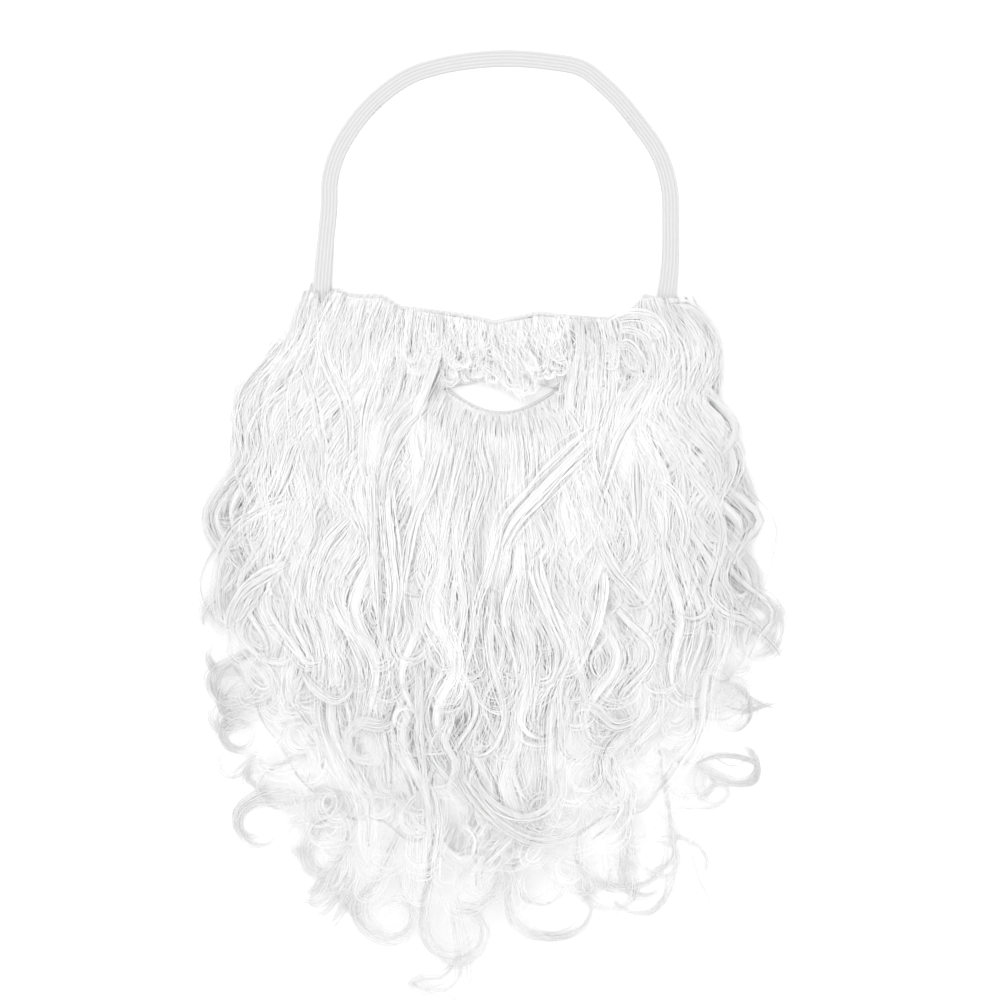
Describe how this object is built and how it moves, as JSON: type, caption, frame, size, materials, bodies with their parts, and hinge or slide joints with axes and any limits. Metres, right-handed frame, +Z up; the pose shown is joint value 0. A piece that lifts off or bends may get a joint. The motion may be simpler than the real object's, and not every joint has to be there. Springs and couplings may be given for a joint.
{
  "type": "fake beard",
  "caption": "Long curly white costume beard on a cloth base with a mouth opening and an elastic head strap, lying flat on its back.",
  "frame": {"origin": "on the underside of the cloth base, at the chin, 16 mm below the mouth opening", "axes": "+X to the right in a view from above, +Y from the chin to the strap, +Z up from the table, out of the face of the beard"},
  "size_m": [0.3288, 0.5323, 0.0398],
  "materials": {
    "white_hair": "soft sheen synthetic fibre",
    "backing_cloth": "matt woven cloth",
    "white_elastic": "matt ribbed elastic"
  },
  "bodies": {
    "root": {"backing": "backing_cloth", "beard_hair": "white_hair", "over_lip_hair": "white_hair", "strap": "white_elastic"}
  },
  "joints": []
}
